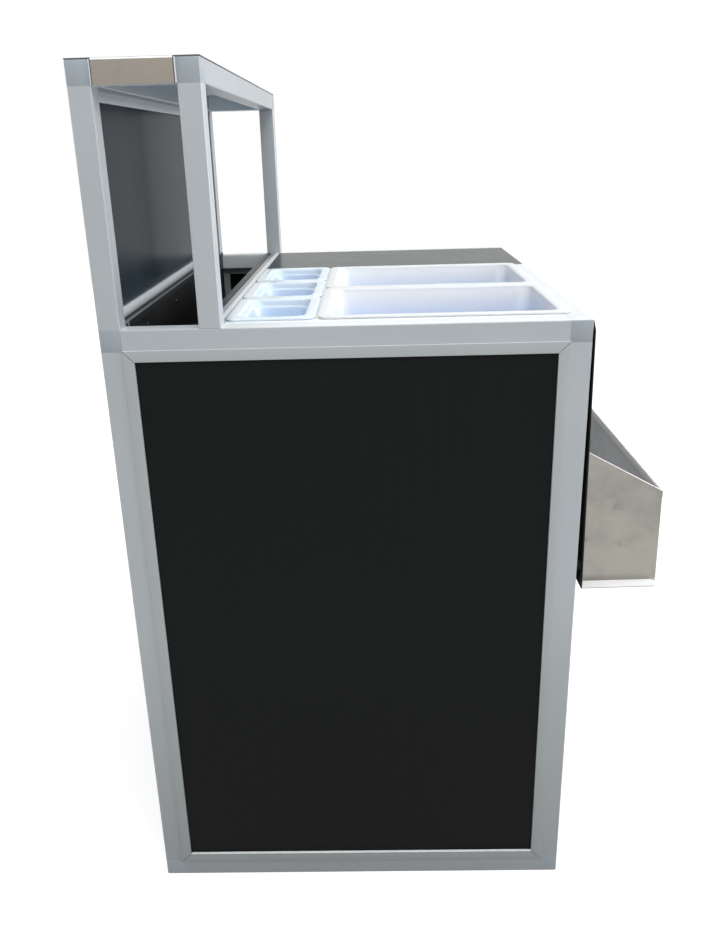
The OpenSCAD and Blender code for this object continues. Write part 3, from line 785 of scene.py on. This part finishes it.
class BARSTATION_OT_hood_sheet(bpy.types.Operator):
    """Make the hood's stainless top sheet with its folded end flanges"""

    bl_idname = "barstation.hood_sheet"
    bl_label = "Hood sheet"

    def execute(self, context):
        low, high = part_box("hood_top_sheet")
        bend, border = sizes().hood_bend, 1.2 * MM
        path = fillet([(low.x, low.z), (low.x, high.z), (high.x, high.z), (high.x, low.z)],
                      [bend, bend])
        flat = [i for i, p in enumerate(path) if p.y > high.z - 1e-7]
        steps = [(0, False), (FLANGE_IN - 0.2 * MM, False), (FLANGE_IN, True),
                 (FLANGE_IN + border, True)]
        columns = [(low.y + d, folded) for d, folded in steps]
        columns += [(high.y - d, folded) for d, folded in reversed(steps)]
        verts, index = [], {}
        for c, (y, folded) in enumerate(columns):
            for r, point in enumerate(path):
                if folded or r in flat:
                    index[c, r] = len(verts)
                    x = point.x if folded else math.copysign(END_X, point.x)
                    verts.append((x, y, point.y))
        faces = []
        for c in range(len(columns) - 1):
            for r in range(len(path) - 1):
                if columns[c][1] and columns[c + 1][1] or r in flat and r + 1 in flat:
                    faces.append((index[c, r], index[c, r + 1], index[c + 1, r + 1],
                                  index[c + 1, r]))
        sheet = link_mesh("hood_sheet", verts, faces)
        tidy_normals(sheet)
        if sum(face.normal.z * face.area for face in sheet.data.polygons) < 0:
            sheet.data.flip_normals()
        solid = sheet.modifiers.new("thickness", "SOLIDIFY")
        solid.thickness = SHEET
        solid.offset = -1
        apply_modifiers(sheet)
        shade(sheet)
        steel = brushed("hood_stainless", tone("flange"), 1, 0.34, 0.25)
        place(sheet, STATION, "hood_stainless", steel, "hood_top_sheet")
        middle, half = (low.y + high.y) / 2, (high.y - low.y) / 2 - FLANGE_IN - border
        # Painted light: the sheet's underside, in the hood's shade, gets a paler bluish tone
        under = anodised("hood_underside", tone("underside"), 0, 0.45)
        finish_faces(sheet, under, lambda face: face.normal.z < -0.7)
        # Painted highlight on the bends of the flanges
        finish_faces(sheet, highlight_metal("hood_bend", tone("bend"), 0.3),
                     lambda face: abs(face.normal.x) > 0.2 and face.normal.z > 0.2)
        # Painted shade: the sheet's cut edges and the strips at the flanges' sides by the corner
        # blocks get a dark tone
        cut = brushed("hood_cut_edge", tone("cut"), 1, 0.45, 0.2)
        finish_faces(sheet, cut, lambda face: (
            abs(face.normal.y) > 0.7 or abs(face.normal.x) > 0.2 and face.normal.z > 0.85
            or abs(face.normal.x) > 0.2 and abs(face.center.y - middle) > half))
        return {"FINISHED"}


# Bottle well and base

class BARSTATION_OT_well_and_base(bpy.types.Operator):
    """Finish the bottle well, the base shelf and the apron"""

    bl_idname = "barstation.well_and_base"
    bl_label = "Well and base"

    def execute(self, context):
        finish_node("bottle_well_tray",
                    moulded("sheet_black", tone("coat"), 0.40, 900.0, 0.03, 0.15))
        finish_node("apron", moulded("apron_black", tone("apron"), 0.45, 900.0, 0.03, 0.1))
        finish_node("base_shelf", black_panel("shelf_black", tone("coat"), 0.5, 0.15, 0.3))
        finish_node("apron_buffers", moulded("buffer_rubber", tone("rubber"), 0.7, gloss=0.2))
        return {"FINISHED"}


# Worktop and pans

def rounded_loop(low, high, inset, radius, z, steps=8):
    """Closed loop of a rounded rectangle, inset from its corners."""
    loop = []
    quarter = math.pi / 2
    left, right = low.x + inset + radius, high.x - inset - radius
    near, far = low.y + inset + radius, high.y - inset - radius
    for turn, (cx, cy) in enumerate(((right, far), (left, far), (left, near), (right, near))):
        for i in range(steps + 1):
            angle = (turn + i / steps) * quarter
            loop.append(Vector((cx + radius * math.cos(angle), cy + radius * math.sin(angle), z)))
    return loop


def pan_mesh(name, node, ledge, soft):
    """Thin-walled pan in a node's box, with a rolled rim, drawn sides and a soft bottom. Its
    inner corners grow rounder by soft on the way down, and a ledge runs round below its rim
    where one is given."""
    low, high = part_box(node)
    rim, wall, thick, taper, corner = 12 * MM, 2.5 * MM, 3 * MM, 8 * MM, 14 * MM
    middle, full = 60 * MM, 30 * MM
    floor, top = low.z, high.z
    under, inner = top - thick, rim + wall
    # Section from the middle of the underside, round the rim and back to the middle inside
    points = [(middle, floor), (rim + taper, floor), (rim, under - MM), (rim - MM, under),
              (0, under), (0, top), (inner, top)]
    radii = [12 * MM, 0.6 * MM, 0.6 * MM, 0.8 * MM, 1.2 * MM, 3.2 * MM]
    narrower = 0
    if ledge > 0:
        points += [(inner + 1.2 * MM, top - ledge), (inner + 4.5 * MM, top - ledge - MM)]
        radii += [1.5 * MM, 1.5 * MM]
        narrower = 3.5 * MM
    points += [(inner + taper + narrower, floor + wall), (middle, floor + wall)]
    radii.append(10 * MM)
    half = min(high.x - low.x, high.y - low.y) / 2
    loops, inside = [], False
    for point in fillet(points, radii, 5):
        inside = inside or point.y > top - 0.01 * MM
        inset = min(point.x, half - corner - MM)
        deepened = min((top - point.y) / full, 1.0) if inside else 0.0
        radius = min(corner + soft * deepened, half - inset - MM)
        loops.append(rounded_loop(low, high, inset, radius, point.y))
    made = swept_loops(name, loops)
    shade(made, 50)
    return made


class BARSTATION_OT_worktop(bpy.types.Operator):
    """Finish the stainless worktop plate"""

    bl_idname = "barstation.worktop"
    bl_label = "Worktop plate"

    def execute(self, context):
        finish_node("worktop_plate", brushed(
            "worktop_stainless", tone("worktop"), 1, 0.20, 0.5, 0.38, 0.0015))
        return {"FINISHED"}


class BARSTATION_OT_pans(bpy.types.Operator):
    """Make the ice bins and the garnish pans"""

    bl_idname = "barstation.pans"
    bl_label = "Ice bins and garnish pans"

    def execute(self, context):
        rim_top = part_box("ice_bin_left")[1].z
        # Nodes, stem of the names, colours, roughness, height of the ledge, soft corners, ends
        for kind, stem, tint, rough, ledge, soft, ends in (
                ("ice_bin_", "ice_bin", "ice", 0.30, 0, 26 * MM, ("left", "right")),
                ("garnish_pan_", "garnish", "garnish", 0.22, 9 * MM, 24 * MM,
                 ("left", "middle", "right"))):
            slot = stem + "_plastic"
            # Rim, wall and inside tones, painted light and shade
            tones = [tone(tint + part) for part in ("_rim", "_wall", "_deep")]
            plastic = frosted(slot, *tones, rim_top, rough)
            for end in ends:
                made = pan_mesh(f"{stem}_shell_{end}", kind + end, ledge, soft)
                place(made, kind + end, slot, plastic, kind + end)
        return {"FINISHED"}


# Speed rail

# Gap inside a turned hem, and the steps along an end plate's foot
HEM_GAP = 0.15 * MM
FOOT_STEPS = 12


def hung_place():
    """Transform from the apron's own axes, with its inner top edge at the origin."""
    low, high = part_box("apron")
    top = high.z - APRON_SHEET * math.sin(sizes().lean)
    return Matrix.Translation((0, low.y, top)) @ Matrix.Rotation(sizes().lean, 4, "X")


def hung_box(node, test=lambda point: True):
    """Corners of a node's box along the apron's own axes, of its points that pass the test."""
    inverse = hung_place().inverted()
    points = [inverse @ vert.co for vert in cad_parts[node].data.vertices]
    return box_of([point for point in points if test(point)])


class BARSTATION_OT_speed_rail(bpy.types.Operator):
    """Make the speed rail's folded trough and its end plates"""

    bl_idname = "barstation.speed_rail"
    bl_label = "Speed rail"

    def execute(self, context):
        steel = brushed("trough_stainless", tone("trough"), 0, 0.30, 0.5)
        inside = brushed("trough_inside", tone("trough_in"), 0, 0.30, 0.30, metallic=0.0)
        warm = brushed("end_plate_stainless", tone("end_plate"), 2, 0.33, 0.9)
        low, high = hung_box("speed_rail_trough")
        front_top = hung_box("speed_rail_trough", lambda p: p.y > high.y - SHEET)[1].z
        foot_y = hung_box("speed_rail_end_plates", lambda p: p.x > END_X - SHEET)[1].y
        back, front, bottom, back_top, end = low.y, high.y, low.z, high.z, high.x
        bend, hem = sizes().bend, sizes().hem
        roll = SHEET + HEM_GAP
        rolled = roll * 0.98
        to_world = hung_place()
        inverse = to_world.inverted()
        path = fillet([(back + 2 * roll, back_top - hem), (back + 2 * roll, back_top),
                       (back, back_top), (back, bottom), (front, bottom), (front, front_top),
                       (front - 2 * roll, front_top), (front - 2 * roll, front_top - hem)],
                      [rolled, rolled, bend, bend, rolled, rolled])
        trough = folded_sheet("trough_sheet", [(-end, path), (end, path)], SHEET,
                              lambda x, p: to_world @ Vector((x, p.x, p.y)))
        shade(trough)
        place(trough, SPEED_RAIL, "trough_stainless", steel, "speed_rail_trough")

        def inner_side(face, test):
            """Whether the face looks towards the apron and its middle passes the test."""
            return (inverse.to_3x3() @ face.normal).y < -0.7 and test(inverse @ face.center)

        # Painted light: the inner side of the front, in shade, gets a pale tone
        finish_faces(trough, inside, lambda face: inner_side(
            face, lambda at: at.y > (back + front) / 2))
        # Painted highlight on the front hem
        finish_faces(trough, highlight_metal("trough_hem", tone("bend"), 0.0), lambda face: inner_side(
            face, lambda at: abs(at.y - front + 2 * roll) < 0.3 * MM
            and at.z > front_top - 1.1 * hem))
        plates = []
        foot_share = (foot_y - back) / (front - back)
        shares = [i / FOOT_STEPS * foot_share for i in range(FOOT_STEPS + 1)]
        shares += [foot_share + 1e-4, 1.0]
        for side, _ in SIDES:
            stations = []
            for share in shares:
                rise = back_top + (front_top - back_top) * share
                reach = END_X if share <= foot_share else end + bend * 1.05
                outline = [(reach, bottom), (end, bottom), (end, rise), (end + 2 * roll, rise),
                           (end + 2 * roll, rise - hem)]
                stations.append((back + (front - back) * share,
                                 fillet(outline, [bend, rolled, rolled])))
            plates.append(folded_sheet("end_plate", stations, -SHEET,
                                       lambda y, p, s=side: to_world @ Vector((s * p.x, y, p.y))))
        made = join("end_plates", plates)
        tidy_normals(made)
        shade(made)
        place(made, SPEED_RAIL, "trough_stainless", warm, "speed_rail_end_plates")
        # Painted light on the end plates' upward faces
        finish_faces(made, highlight_metal("end_plate_edge", tone("bend"), 0.0),
                     lambda face: face.normal.z > 0.5)
        return {"FINISHED"}


# Fasteners, set on points by Geometry Nodes

# Head radius, head height, shank radius and shank length of each fastener, in mm
FASTENERS = {
    "shelf_screw": (3.8, 2.0, 2.0, 13.5), "well_screw": (3.8, 2.0, 2.0, 9.0),
    "hanging_stud": (5.0, 2.0, 2.5, 7.1), "rivet_head": (4.0, 1.2, 2.0, 2.5),
    "rivet_tail": (3.2, 1.0, 1.9, 0.4),
}
FASTENER_INPUTS = ("Head radius", "Head height", "Shank radius", "Shank length")

# How far a rivet's head and tail begin from the middle of its solid
RIVET_FRONT, RIVET_BACK = 1.25 * MM, 1.45 * MM


def fastener_tree(name, slotted):
    """Node tree that sets a domed head, with a cross recess if slotted, and a shank on each
    point of a mesh, turned to the point's facing attribute."""
    tree = bpy.data.node_groups.new(name, "GeometryNodeTree")
    for label, way, kind in (
            ("Geometry", "INPUT", "Geometry"),
            *((size, "INPUT", "Float") for size in FASTENER_INPUTS),
            ("Material", "INPUT", "Material"), ("Geometry", "OUTPUT", "Geometry")):
        tree.interface.new_socket(label, in_out=way, socket_type="NodeSocket" + kind)
    given = add_node(tree, "NodeGroupInput").outputs

    def sized(label, share):
        """An input times a number."""
        return calculate(tree, "MULTIPLY", given[label], share)

    def vector(**axes):
        """Vector with the given axes."""
        return add_node(tree, "ShaderNodeCombineXYZ", axes).outputs[0]

    def moved(geometry, by):
        """Geometry moved by a vector."""
        return add_node(tree, "GeometryNodeTransform", {
            "Geometry": geometry, "Translation": by}).outputs[0]

    # The head is a line up to its top, whose radius falls off as a dome's does
    top = vector(Z=given["Head height"])
    line = add_node(tree, "GeometryNodeCurvePrimitiveLine", {"End": top})
    rings = add_node(tree, "GeometryNodeResampleCurve", {"Curve": line.outputs[0], "Count": 9})
    share = add_node(tree, "GeometryNodeSplineParameter").outputs["Factor"]
    rest = calculate(tree, "SUBTRACT", 1.0, calculate(tree, "POWER", share, 2.6))
    dome = calculate(tree, "POWER", calculate(tree, "MAXIMUM", rest, 0.12), 0.5)
    circle = add_node(tree, "GeometryNodeCurvePrimitiveCircle", {"Resolution": 24, "Radius": 1.0})
    solid = add_node(tree, "GeometryNodeCurveToMesh", {
        "Curve": rings.outputs[0], "Profile Curve": circle.outputs["Curve"], "Fill Caps": True,
        "Scale": calculate(tree, "MULTIPLY", dome, given["Head radius"])}).outputs[0]
    if slotted:
        # Two crossed cuts, the second a little deeper, so that none of their faces coincide
        wide, thin = sized("Head radius", 1.1), sized("Head radius", 0.22)
        for along, across, share in (("X", "Y", 1.0), ("Y", "X", 1.08)):
            size = vector(**{along: wide, across: thin, "Z": sized("Head height", share)})
            cutter = add_node(tree, "GeometryNodeMeshCube", {"Size": size}).outputs[0]
            solid = add_node(tree, "GeometryNodeMeshBoolean", {
                "Mesh 1": solid, "Mesh 2": moved(cutter, top)}, operation="DIFFERENCE").outputs[0]
    shank = add_node(tree, "GeometryNodeMeshCylinder", {
        "Vertices": 16, "Radius": given["Shank radius"], "Depth": given["Shank length"]})
    lowered = moved(shank.outputs["Mesh"], vector(Z=sized("Shank length", -0.5)))
    both = add_node(tree, "GeometryNodeJoinGeometry")
    for part in (solid, lowered):
        tree.links.new(part, both.inputs[0])
    facing = add_node(tree, "GeometryNodeInputNamedAttribute", {"Name": "facing"},
                      data_type="FLOAT_VECTOR")
    turned = add_node(tree, "FunctionNodeAlignRotationToVector", {
        "Vector": facing.outputs["Attribute"]}, axis="Z")
    spots = add_node(tree, "GeometryNodeInstanceOnPoints", {
        "Points": given["Geometry"], "Instance": both.outputs[0], "Rotation": turned.outputs[0]})
    real = add_node(tree, "GeometryNodeRealizeInstances", {"Geometry": spots.outputs[0]})
    painted = add_node(tree, "GeometryNodeSetMaterial", {
        "Geometry": real.outputs[0], "Material": given["Material"]})
    tree.links.new(painted.outputs[0], add_node(tree, "NodeGroupOutput").inputs[0])
    return tree


def set_fasteners(name, tree, spots, kind, material):
    """Mesh of the tree's fastener of one kind on each (place, facing) spot."""
    obj = link_mesh(name, [spot for spot, _ in spots], [])
    facing = obj.data.attributes.new("facing", "FLOAT_VECTOR", "POINT")
    for item, (_, direction) in zip(facing.data, spots):
        item.vector = direction
    modifier = obj.modifiers.new("fasteners", "NODES")
    modifier.node_group = tree
    sockets = {s.name: s.identifier for s in tree.interface.items_tree if s.in_out == "INPUT"}
    for label, value in zip(FASTENER_INPUTS, FASTENERS[kind]):
        modifier[sockets[label]] = value * MM
    modifier[sockets["Material"]] = material
    apply_modifiers(obj)
    shade(obj, 42)
    return obj


def solid_boxes(node):
    """Box of each separate solid in a node, in the order of their low corners."""
    bm = bmesh.new()
    bm.from_mesh(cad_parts[node].data)
    bmesh.ops.remove_doubles(bm, verts=bm.verts, dist=0.001 * MM)
    left = set(bm.verts)
    boxes = []
    while left:
        found = [left.pop()]
        for vert in found:
            near = {other for edge in vert.link_edges for other in edge.verts} & left
            left -= near
            found += near
        boxes.append(box_of([vert.co for vert in found]))
    bm.free()
    return sorted(boxes, key=lambda box: tuple(round(c, 6) for c in box[0]))


def head_spots(node, facing):
    """Where the head of each fastener in a node begins, with its facing, which the given
    function tells from the middle of its solid."""
    spots = []
    for low, high in solid_boxes(node):
        middle = (low + high) / 2
        way = facing(middle)
        spots.append((middle + way * (abs(way.dot(high - low)) / 2 - HEAD), way))
    return spots


class BARSTATION_OT_fasteners(bpy.types.Operator):
    """Set the screws, rivets and hanging studs on their points"""

    bl_idname = "barstation.fasteners"
    bl_label = "Fasteners"

    def execute(self, context):
        black = moulded("screw_black", tone("coat"), 0.45, gloss=0.15)
        steel = brushed("fastener_steel", tone("steel"), 2, 0.28, 0.1)
        screw = fastener_tree("cross_recess_screw", True)
        dome = fastener_tree("domed_head", False)
        well_y = sum(corner.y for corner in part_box("well_screws")) / 2
        for kind, facing, tree, slot, material in (
                ("shelf_screw", lambda at: Z, screw, "screw_black", black),
                ("well_screw", lambda at: Y if at.y < well_y else -Y, screw, "screw_black", black),
                ("hanging_stud", lambda at: Y, dome, "fastener_steel", steel)):
            made = set_fasteners(kind + "_set", tree, head_spots(kind + "s", facing), kind,
                                 material)
            place(made, STATION, slot, material, kind + "s")
        outward = hung_place().to_3x3() @ Y
        middles = [(low + high) / 2 for low, high in solid_boxes("speed_rail_rivets")]
        rivets = []
        for kind, way, reach in (("rivet_head", outward, RIVET_FRONT),
                                 ("rivet_tail", -outward, RIVET_BACK)):
            spots = [(middle + way * reach, way) for middle in middles]
            rivets.append(set_fasteners(kind + "s", dome, spots, kind, steel))
        place(join("rivet_set", rivets), SPEED_RAIL, "fastener_steel", steel, "speed_rail_rivets")
        return {"FINISHED"}


# Stage

# Camera, fitted to the frame's edges in the photograph: place, tilts in radians, lens in mm
CAMERA_PLACE = Vector((END_X + 1.0458, FRONT_Y + 0.3321, 1.0525))
CAMERA_DOWN, CAMERA_TURN, CAMERA_ROLL = 0.3549, 0.0238, -0.0276
CAMERA_LENS, CAMERA_SENSOR = 33.41, 36.0

# Lamps, each with its place, the point that it faces and its size, in metres
LAMPS = {
    "top": ((0.2, 0.4, 2.9), (0, 0, 0.8), 1.8), "side": ((0.4, 3.0, 1.6), (0, 0, 0.8), 2.0),
    "end": ((1.7, 0.2, 2.6), (0.2, 0, 0.8), 1.4), "far": ((-1.9, 0.2, 2.6), (-0.2, 0, 0.8), 1.4),
    "front": ((0.3, -3.0, 1.9), (0, 0, 0.8), 2.0),
}
SKY_TINT = (0.93, 0.97, 1.0)
FLOOR_GREY = (0.55, 0.55, 0.55)
FLOOR_HALF = 6.0


def camera_matrix():
    """Camera at the left end, looking along -X, with its tilts."""
    level = Matrix(((0, 1, 0), (0, 0, -1), (-1, 0, 0)))
    rows = (Matrix.Rotation(CAMERA_ROLL, 3, "Z") @ Matrix.Rotation(CAMERA_DOWN, 3, "X")
            @ Matrix.Rotation(CAMERA_TURN, 3, "Y") @ level)
    axes = Matrix((rows[0], -rows[1], -rows[2])).transposed()
    return Matrix.Translation(CAMERA_PLACE) @ axes.to_4x4()


def area_lamp(name, place_at, aim, size, watts):
    """Square soft lamp that faces a point."""
    lamp = bpy.data.lights.new(name, "AREA")
    lamp.shape = "SQUARE"
    lamp.size = size
    lamp.energy = watts
    obj = link_object(name, lamp)
    obj.location = place_at
    obj.rotation_euler = (Vector(aim) - Vector(place_at)).to_track_quat("-Z", "Y").to_euler()


def seen_share(tree):
    """Share that is 1 for camera, gloss and transmission rays, and 0 for the others."""
    path = add_node(tree, "ShaderNodeLightPath").outputs
    seen = path["Is Camera Ray"]
    for output in ("Is Glossy Ray", "Is Transmission Ray"):
        seen = calculate(tree, "MAXIMUM", seen, path[output])
    return seen


def stage_world(strength):
    """World that is white behind the object and in its gloss, and even light elsewhere."""
    world = bpy.data.worlds.new("studio")
    bpy.context.scene.world = world
    world.use_nodes = True
    tree = world.node_tree
    tree.nodes.clear()
    even = add_node(tree, "ShaderNodeBackground", {"Color": (*SKY_TINT, 1), "Strength": strength})
    white = add_node(tree, "ShaderNodeBackground", {"Color": (1, 1, 1, 1), "Strength": 1.0})
    mix = add_node(tree, "ShaderNodeMixShader", {
        0: seen_share(tree), 1: even.outputs[0], 2: white.outputs[0]})
    add_node(tree, "ShaderNodeOutputWorld", {"Surface": mix.outputs[0]})


def floor_material():
    """Grey floor that shows white to the camera and in gloss, all the more further out, and
    keeps the object's shadow."""
    material, tree, shader = start_material("floor_white")
    coords = add_node(tree, "ShaderNodeTexCoord")
    away = add_node(tree, "ShaderNodeVectorMath", {0: coords.outputs["Object"]},
                    operation="LENGTH")
    glow = spread(tree, away.outputs["Value"], 0.66, 1.0, 1.0, 2.6)
    set_inputs(tree, shader, {
        "Base Color": (*FLOOR_GREY, 1), "Roughness": 0.9, "Specular IOR Level": 0.0,
        "Emission Color": (1, 1, 1, 1),
        "Emission Strength": calculate(tree, "MULTIPLY", seen_share(tree), glow)})
    return material


class BARSTATION_OT_stage(bpy.types.Operator):
    """Set the camera, the lamps, the floor and the background"""

    bl_idname = "barstation.stage"
    bl_label = "Stage"

    def execute(self, context):
        scene = context.scene
        scene.view_settings.view_transform = "Standard"
        data = bpy.data.cameras.new("camera")
        data.sensor_width = CAMERA_SENSOR
        data.lens = CAMERA_LENS
        scene.camera = link_object("camera", data)
        scene.camera.matrix_world = camera_matrix()
        stage_world(scene.bar_stage.sky)
        far = FLOOR_HALF
        floor = link_mesh("floor", [(-far, -far, 0), (far, -far, 0), (far, far, 0),
                                    (-far, far, 0)], [(0, 1, 2, 3)])
        paint(floor, floor_material())
        for name, (place_at, aim, size) in LAMPS.items():
            area_lamp(name + "_lamp", place_at, aim, size, getattr(scene.bar_stage, name))
        return {"FINISHED"}


# Panel in the sidebar, and registration

OPERATORS = (
    BARSTATION_OT_stage, BARSTATION_OT_frame_tubes, BARSTATION_OT_corner_blocks,
    BARSTATION_OT_panels, BARSTATION_OT_hood_sheet, BARSTATION_OT_well_and_base,
    BARSTATION_OT_worktop, BARSTATION_OT_pans, BARSTATION_OT_speed_rail,
    BARSTATION_OT_fasteners,
)


class BARSTATION_PT_sidebar(bpy.types.Panel):
    """Pieces and settings of the bar station"""

    bl_label = "Bar station"
    bl_idname = "BARSTATION_PT_sidebar"
    bl_space_type = "VIEW_3D"
    bl_region_type = "UI"
    bl_category = "Bar station"

    def draw(self, context):
        for operator in OPERATORS:
            self.layout.operator(operator.bl_idname)
        for group in (context.scene.bar_colours, context.scene.bar_sizes,
                      context.scene.bar_stage):
            for key in group.__annotations__:
                self.layout.prop(group, key)


GROUPS = {"bar_colours": StationColours, "bar_sizes": StationSizes, "bar_stage": StationStage}


def register():
    for cls in (*GROUPS.values(), *OPERATORS, BARSTATION_PT_sidebar):
        bpy.utils.register_class(cls)
    for name, group in GROUPS.items():
        setattr(bpy.types.Scene, name, bpy.props.PointerProperty(type=group))


def unregister():
    for name in GROUPS:
        delattr(bpy.types.Scene, name)
    for cls in reversed((*GROUPS.values(), *OPERATORS, BARSTATION_PT_sidebar)):
        bpy.utils.unregister_class(cls)


def main():
    """Makes every piece and the stage."""
    register()
    for operator in OPERATORS:
        group, name = operator.bl_idname.split(".")
        getattr(getattr(bpy.ops, group), name)()


if __name__ == "__main__":
    main()
